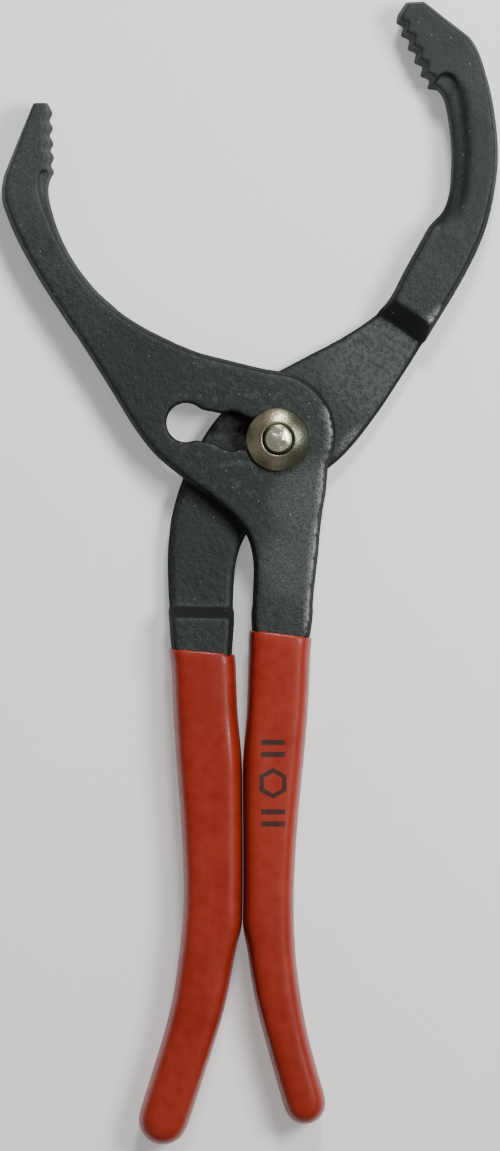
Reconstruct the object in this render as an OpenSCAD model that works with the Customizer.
// Slip-joint oil filter pliers, nominal length 305 mm, shown with the handles closed
// and the pivot in the widest of its three places.
//
// Frame: the pliers lie flat on z = 0, +Y runs from the handles to the jaws, +Z is up
// along the pivot, and the origin is the centre of the pivot bolt's rear head.
// The front lever carries the left jaw and the right handle, and the rear lever the
// right jaw and the left handle. They cross at the joint, where each is half as thick.

/* [Forgings] */
// Thickness of a lever at its jaw and handle
lever_t = 12; // [11:0.5:13]
// Free gap between the two joint plates
plate_gap = 0.1; // [0.05:0.05:0.3]
// How far the forged sides lean in from the parting line to either face
draft = 1.2; // [0.6:0.1:1.4]
// How far the tooth pads lean in from the parting line to either face
pad_draft = 1.8; // [1:0.1:2.2]
// How far the front lever's blunt tip leans in
tip_draft = 0.6; // [0.4:0.1:1.2]
// Length of the slope from a joint plate up to full thickness at the jaw
jaw_run = 5.6; // [3:0.2:6]
// Length of the same slope at the handle
handle_run = 3; // [2:0.2:4]

/* [Jaw teeth] */
// Distance from one tooth to the next
tooth_pitch = 3.95; // [3.6:0.05:4.1]
// Depth of the tooth gaps in the front lever's jaw
front_tooth_depth = 1; // [0.8:0.1:1.6]
// Depth of the tooth gaps in the rear lever's jaw
rear_tooth_depth = 1.7; // [1:0.1:2]

/* [Slip joint] */
// Distance between neighbouring pivot places along the slot
place_pitch = 12.4; // [11.6:0.1:12.6]
// Radius of each of the slot's round places
lobe_r = 5.2; // [5.2:0.1:5.8]
// Half the width of the necks between the places
neck_half = 4.1; // [4.1:0.1:4.6]
// Direction of the slot, from the widest place to the narrowest
slot_angle = 169.3; // [167:0.1:171]

/* [Pivot] */
// Radius of the bolt's round shank
shank_r = 5.1; // [4.9:0.05:5.1]
// Half the distance across the flats that slide in the slot
flat_half = 4; // [3.8:0.05:4]
// Radius of the bolt's rear head
head_r = 9; // [8:0.25:9.5]
// Thickness of the bolt's rear head
head_t = 2.5; // [2.2:0.1:3]
// Radius of the domed washer on the front
washer_r = 8.4; // [7.5:0.05:9]
// Radius of the bolt's riveted tail
tail_r = 3.5; // [3.2:0.1:3.8]

/* [Grips] */
// Wall thickness of the dipped vinyl grips
grip_t = 1.1; // [0.9:0.1:1.2]

/* [Hidden] */

$fn = 96;
steel = "#363b39";
vinyl = "#a8341f";
plated = "#a59d86";

span_steps = 4;                      // outline points to each stretch between two anchors
handle_steps = 3;                    // the same between two stations of a handle
end_steps = 12;                      // outline points round a handle's end
hump_steps = 14;                     // outline points round the front lever's hump
places = 3;                          // number of pivot places in the slot
front_gaps = 4;                      // tooth gaps in each jaw
rear_gaps = 5;
tooth_land = 0.15;                   // half the flat left on a tooth's crest
spare = 1;                           // how far a cutting solid runs past what it cuts
reach = 400;                         // a length beyond the whole tool

back_z = grip_t + 0.1;               // the steel's rear faces stand clear of the table
face_z = back_z + lever_t;
mid_z = back_z + lever_t / 2;        // the parting line, and the joint's shear plane

running_play = 0.05;                 // radial clearance of the shank in its bore
face_play = 0.1;                     // clearance under the washer and over the rear head
seat_play = 0.4;                     // radial clearance round the head in its seat
seat_depth = head_t + face_play - back_z;
skin_play = 0.05;                    // gap between a grip's vinyl and its steel

washer_z = face_z + face_play;
washer_break = 0.3;                  // bevel round the washer's lower edge
washer_rim = 1;                      // thickness of the washer at its edge
washer_crown = 2.9;                  // thickness of the washer round its well
well_r = 4.4;                        // radius of the well round the riveted tail
well_floor = 2.2;                    // thickness of the washer under the tail's rim
stem_r = 2.9;                        // radius of the bolt where it passes the washer
tail_rim = 0.7;                      // height of the riveted tail's upright rim
tail_crown = 1.8;                    // height of the riveted tail at its middle

grip_edge = 1;                       // height of the rounding along a grip's edges
grip_lean = 0.9;                     // how far that rounding leans in

// Anchors are [x, y] in mm at the parting line, clockwise round each lever.
// A handle's stations are [x, y, half width of the steel] from the joint downwards.

front_tip = [[-65.1, 89.8], [-61.2, 89.8]];
front_pad = [[-59.7, 86.9], [-59.2, 71.2]];
front_inner = [
    [-60.3, 69.4], [-60.9, 66.5], [-60.2, 62], [-57.9, 54.8], [-54.6, 48.3], [-50.6, 42.7],
    [-45.8, 37.6], [-36.5, 30.8], [-23.2, 24.4], [-12.1, 21.3], [-3.6, 19.2]
];
front_hump = [[-1.5, 1.5], 17.2, 78, -28];   // centre, radius, first and last angle
front_shank = [[13.1, -14], [11.9, -21], [10.9, -31.5], [9.9, -40]];
front_handle = [
    [1.1, -47, 8.3], [0.9, -50.5, 8], [0.5, -54.5, 7.5], [0, -69, 7.4], [-0.8, -85, 6.9],
    [-1.75, -101, 6.3], [-2.2, -117, 5.8], [-2.2, -127.5, 5.75], [-1.4, -138.5, 5.5],
    [0.15, -149, 5.25], [2.5, -159.5, 5], [5.3, -170, 4.85], [7.2, -176.6, 4.8]
];
front_outer = [
    [-6.9, -40], [-6.8, -32.5], [-8.3, -26], [-12, -21], [-18.5, -15.4], [-26.1, -9.8],
    [-33, -3.9], [-38.6, 3.4], [-46.1, 15.6], [-54.2, 28.2], [-62.6, 41], [-68.7, 51.7],
    [-72.3, 60], [-73.6, 65], [-73.1, 70]
];

rear_tip = [[31.6, 113], [34, 116.6], [39, 116.8]];
rear_outer = [
    [51.1, 107.3], [53.1, 104.2], [55.1, 98.9], [57.5, 88.9], [58.7, 77], [57.8, 66.3],
    [55.1, 55.3], [50, 44.1], [42.3, 31.1], [34.6, 18.6], [26.2, 5.9], [18.2, -4],
    [10, -10.7], [3, -14.9], [-3.6, -19.8], [-8.4, -26], [-10.7, -32.9], [-11.4, -42.5]
];
rear_handle = [
    [-20.2, -49, 8.7], [-20.2, -54, 8.4], [-19.8, -58.5, 7.85], [-19.4, -69, 7.8],
    [-18.7, -85, 7.55], [-17.8, -101, 7.2], [-17.4, -117, 6.9], [-17.7, -127.5, 6.85],
    [-19.1, -138.5, 6.55], [-21, -149, 6.3], [-23.7, -159.5, 6.1], [-27, -170, 5.95],
    [-30.5, -180.9, 5.8]
];
rear_inner = [
    [-29.5, -42], [-29.7, -37], [-29.7, -28], [-28.3, -18], [-25.2, -8.8], [-20.8, 0.2],
    [-15, 8], [-7, 15], [4.7, 21.3], [16.6, 27.6], [24.9, 33], [29.4, 37.4], [33.3, 44.7],
    [37.4, 52.1], [40.3, 57.2], [43.6, 61], [45.4, 65.6], [45.9, 72], [45.9, 78], [45.1, 85],
    [44, 90.4], [42.4, 93]
];
rear_pad = [[39.6, 93.2], [31.2, 110]];

// The joint plates end at these lines: a point on the line, the way to full thickness,
// and the length of the slope up to it.
front_jaw_step = [[-47, 32], 121, jaw_run];
front_handle_step = [[1, -44], -90, handle_run];
rear_jaw_step = [[33, 28.9], 56, jaw_run];
rear_handle_step = [[-20, -44.2], -91, handle_run];

// Ledges along the inner edges, between the tooth pads and the arms:
// the anchors that one follows, its width at either end of them, and its depth.
front_ledge = [[for (i = [0 : 3]) front_inner[i]], [3.2, 1.3], 1.2];
rear_ledge = [[for (i = [15 : 21]) rear_inner[i]], [3.4, 5.2], 2];

// The dipped grips begin at these lines across the handles: a point, and the way onwards.
right_mouth = [[0.8, -51.3], -97];
left_mouth = [[-20, -56], -95];

function unit(v) = v / norm(v);
function right_of(v) = [v.y, -v.x];
function flat(p) = [p.x, p.y];
function backwards(p) = [for (i = [len(p) - 1 : -1 : 0]) p[i]];
function mix(a, b, t) = a + (b - a) * t;

function catmull(a, b, c, d, t) =
    0.5 * (2 * b + (c - a) * t + (2 * a - 5 * b + 4 * c - d) * t * t
        + (3 * b - a - 3 * c + d) * t * t * t);

// A smooth curve through every anchor.
function spline(p, n) = let (last = len(p) - 1) [
    for (i = [0 : last - 1]) for (j = [0 : n - 1])
        catmull(p[max(i - 1, 0)], p[i], p[i + 1], p[min(i + 2, last)], j / n),
    p[last]
];

function arc(c, r, from, to, n) = [
    for (i = [0 : n]) let (a = mix(from, to, i / n)) c + r * [cos(a), sin(a)]
];

// Moves each point of a clockwise outline inwards by its own distance.
// An open path moves to its right.
function inset(p, d, closed = true) = let (n = len(p)) [
    for (i = [0 : n - 1]) let (
        before = p[closed ? (i + n - 1) % n : max(i - 1, 0)],
        after = p[closed ? (i + 1) % n : min(i + 1, n - 1)],
        a = right_of(unit(before == p[i] ? after - p[i] : p[i] - before)),
        b = right_of(unit(after == p[i] ? p[i] - before : after - p[i]))
    ) p[i] + d[i] * (a + b) / (1 + a * b)
];

// A handle's outline, down its right side, round its end and up its left side.
function handle_outline(stations, grow = 0) = let (
    p = spline(stations, handle_steps),
    last = len(p) - 1,
    run = [for (i = [0 : last]) unit(flat(p[min(i + 1, last)]) - flat(p[max(i - 1, 0)]))],
    end = atan2(run[last].y, run[last].x)
) concat(
    [for (i = [0 : last - 1]) flat(p[i]) - right_of(run[i]) * (p[i][2] + grow)],
    arc(flat(p[last]), p[last][2] + grow, end + 90, end - 90, end_steps),
    [for (i = [last - 1 : -1 : 0]) flat(p[i]) + right_of(run[i]) * (p[i][2] + grow)]
);

// Each lever's outline as stretches, each with how far its sides lean in.
front_stretches = [
    [front_tip, tip_draft],
    [front_pad, pad_draft],
    [spline(front_inner, span_steps), draft],
    [arc(front_hump[0], front_hump[1], front_hump[2], front_hump[3], hump_steps), draft],
    [spline(front_shank, span_steps), draft],
    [handle_outline(front_handle), draft],
    [spline(front_outer, span_steps), draft]
];
rear_stretches = [
    [rear_tip, draft],
    [spline(rear_outer, span_steps), draft],
    [handle_outline(rear_handle), draft],
    [spline(rear_inner, span_steps), draft],
    [rear_pad, pad_draft]
];

// A solid through rings of [outline, height], all with the same number of points.
module skin(rings) {
    n = len(rings[0][0]);
    top = (len(rings) - 1) * n;
    polyhedron(
        points = [for (r = rings) for (p = r[0]) [p.x, p.y, r[1]]],
        faces = concat(
            [[for (i = [n - 1 : -1 : 0]) i]],
            [for (k = [0 : n : top - 1]) for (i = [0 : n - 1]) let (j = (i + 1) % n)
                each [[k + i, k + j, k + n + j], [k + i, k + n + j, k + n + i]]],
            [[for (i = [0 : n - 1]) top + i]]
        )
    );
}

// A lever at full thickness all over, widest along the parting line.
module forging(stretches) {
    outline = [for (s = stretches) each s[0]];
    leaning = inset(outline, [for (s = stretches) for (p = s[0]) s[1]]);
    skin([[leaning, back_z], [outline, mid_z], [leaning, face_z]]);
}

// Turns a solid over, so that what it does to the front face it does to the rear.
module turned_over(over = true) {
    translate([0, 0, over ? 2 * mid_z : 0]) mirror([0, 0, over ? 1 : 0]) children();
}

// All that is past a step line, where a lever keeps its full thickness.
module past_step(step) {
    translate([step[0].x, step[0].y, mid_z])
        rotate([90, 0, step[1]])
            translate([0, 0, -reach / 2])
                linear_extrude(reach)
                    polygon([[0, 0], [step[2] * 2, lever_t], [reach, lever_t], [reach, 0]]);
}

// The front half of the joint, taken away so that the other lever can lie over this one.
module joint_relief(jaw_step, handle_step) {
    difference() {
        translate([-reach / 2, -reach / 2, mid_z - plate_gap / 2])
            cube([reach, reach, lever_t / 2 + plate_gap / 2 + spare]);
        translate([0, 0, -plate_gap]) past_step(jaw_step);
        translate([0, 0, -plate_gap]) past_step(handle_step);
    }
}

// Tooth gaps along a pad. Each is a vee that follows the pad's lean to both faces.
module tooth_gaps(pad, gaps, depth) {
    along = unit(pad[1] - pad[0]);
    half = tooth_pitch / 2 - tooth_land;
    lean = atan2(pad_draft, lever_t / 2);
    for (i = [0 : gaps - 1]) {
        at = pad[0] + along * tooth_pitch * (i + 0.5);
        for (over = [false, true])
            turned_over(over)
                translate([at.x, at.y, mid_z])
                    rotate(atan2(along.y, along.x))
                        rotate([lean, 0, 0])
                            linear_extrude(lever_t)
                                polygon([[0, -depth], [half * 2, depth], [-half * 2, depth]]);
    }
}

// A ledge with round ends, cut along one edge to a depth below both faces.
module ledge(anchors, widths, depth) {
    path = spline(anchors, span_steps);
    last = len(path) - 1;
    outer = inset(path, [for (i = [0 : last]) -spare], false);
    inner = inset(path, [for (i = [0 : last]) mix(widths[0], widths[1], i / last)], false);
    for (over = [false, true])
        turned_over(over)
            translate([0, 0, face_z - depth])
                linear_extrude(depth + spare) {
                    polygon(concat(outer, backwards(inner)));
                    for (k = [0, last])
                        translate((path[k] + inner[k]) / 2)
                            circle(norm(path[k] - inner[k]) / 2, $fn = end_steps * 2);
                }
}

// The slip slot: round places for the shank, joined by necks that only its flats pass.
module slot() {
    rotate(slot_angle) {
        for (i = [0 : places - 1])
            translate([i * place_pitch, 0, 0]) cylinder(h = face_z + spare, r = lobe_r);
        translate([0, -neck_half, 0])
            cube([(places - 1) * place_pitch, neck_half * 2, face_z + spare]);
    }
}

// A finished forging, brought to the exact thickness of the levers.
module blank(stretches) {
    resize([0, 0, lever_t])
        difference() {
            forging(stretches);
            children();
        }
}

module front_lever() {
    color(steel)
        difference() {
            blank(front_stretches) {
                turned_over() joint_relief(front_jaw_step, front_handle_step);
                ledge(front_ledge[0], front_ledge[1], front_ledge[2]);
                tooth_gaps(front_pad, front_gaps, front_tooth_depth);
            }
            slot();
        }
}

module rear_lever() {
    color(steel)
        difference() {
            blank(rear_stretches) {
                joint_relief(rear_jaw_step, rear_handle_step);
                ledge(rear_ledge[0], rear_ledge[1], rear_ledge[2]);
                tooth_gaps(rear_pad, rear_gaps, rear_tooth_depth);
            }
            cylinder(h = face_z, r = shank_r + running_play);
            cylinder(h = back_z + seat_depth, r = head_r + seat_play);
        }
}

// The bolt is round in the rear lever and has two flats where it stands in the slot.
module pivot_bolt() {
    tail_z = washer_z + well_floor + running_play;
    color(plated) {
        cylinder(h = head_t, r = head_r);
        cylinder(h = mid_z, r = shank_r);
        intersection() {
            cylinder(h = washer_z, r = shank_r);
            rotate(slot_angle)
                translate([-head_r, -flat_half, 0])
                    cube([head_r * 2, flat_half * 2, washer_z]);
        }
        cylinder(h = tail_z, r = stem_r);
        translate([0, 0, tail_z]) rotate_extrude() tail_profile();
    }
}

// Half the riveted tail: an upright rim, then a dome.
module tail_profile() {
    rise = tail_crown - tail_rim;
    dome = (tail_r * tail_r + rise * rise) / (2 * rise);
    half_angle = asin(tail_r / dome);
    polygon(concat(
        [[0, 0], [tail_r, 0]],
        arc([0, tail_crown - dome], dome, 90 - half_angle, 90, end_steps)
    ));
}

module pivot_washer() {
    color(plated)
        translate([0, 0, washer_z])
            difference() {
                rotate_extrude() washer_profile();
                translate([0, 0, -spare])
                    cylinder(h = washer_crown + spare * 2, r = stem_r + running_play);
            }
}

// Half the washer: flat below and domed above, with a well for the riveted tail.
module washer_profile() {
    foot = well_r * well_r - washer_r * washer_r;
    rise = washer_crown * washer_crown - washer_rim * washer_rim;
    centre_z = (foot + rise) / (2 * (washer_crown - washer_rim));
    dome = norm([washer_r, washer_rim - centre_z]);
    polygon(concat(
        [[0, 0], [washer_r - washer_break, 0], [washer_r, washer_break]],
        arc(
            [0, centre_z], dome,
            atan2(washer_rim - centre_z, washer_r), atan2(washer_crown - centre_z, well_r),
            end_steps
        ),
        [[tail_r + running_play, well_floor], [0, well_floor]]
    ));
}

// A dipped grip: a skin of even thickness over a handle, cut square at its mouth.
module grip(stations, mouth) {
    outer = handle_outline(stations, grip_t);
    inner = handle_outline(stations, skin_play);
    round = draft + grip_lean;
    function leaning(p, d) = inset(p, [for (q = p) d]);
    color(vinyl)
        resize([0, 0, mid_z * 2])
            difference() {
                skin([
                    [leaning(outer, round), 0], [leaning(outer, draft), grip_edge],
                    [outer, mid_z],
                    [leaning(outer, draft), mid_z * 2 - grip_edge],
                    [leaning(outer, round), mid_z * 2]
                ]);
                skin([
                    [leaning(inner, draft), back_z - skin_play], [inner, mid_z],
                    [leaning(inner, draft), face_z + skin_play]
                ]);
                translate([mouth[0].x, mouth[0].y, -spare])
                    rotate(mouth[1])
                        translate([-reach, -reach / 2, 0]) cube([reach, reach, reach / 4]);
            }
}

module left_grip() {
    grip(rear_handle, left_mouth);
}

module right_grip() {
    grip(front_handle, right_mouth);
}

front_lever();
rear_lever();
pivot_bolt();
pivot_washer();
left_grip();
right_grip();
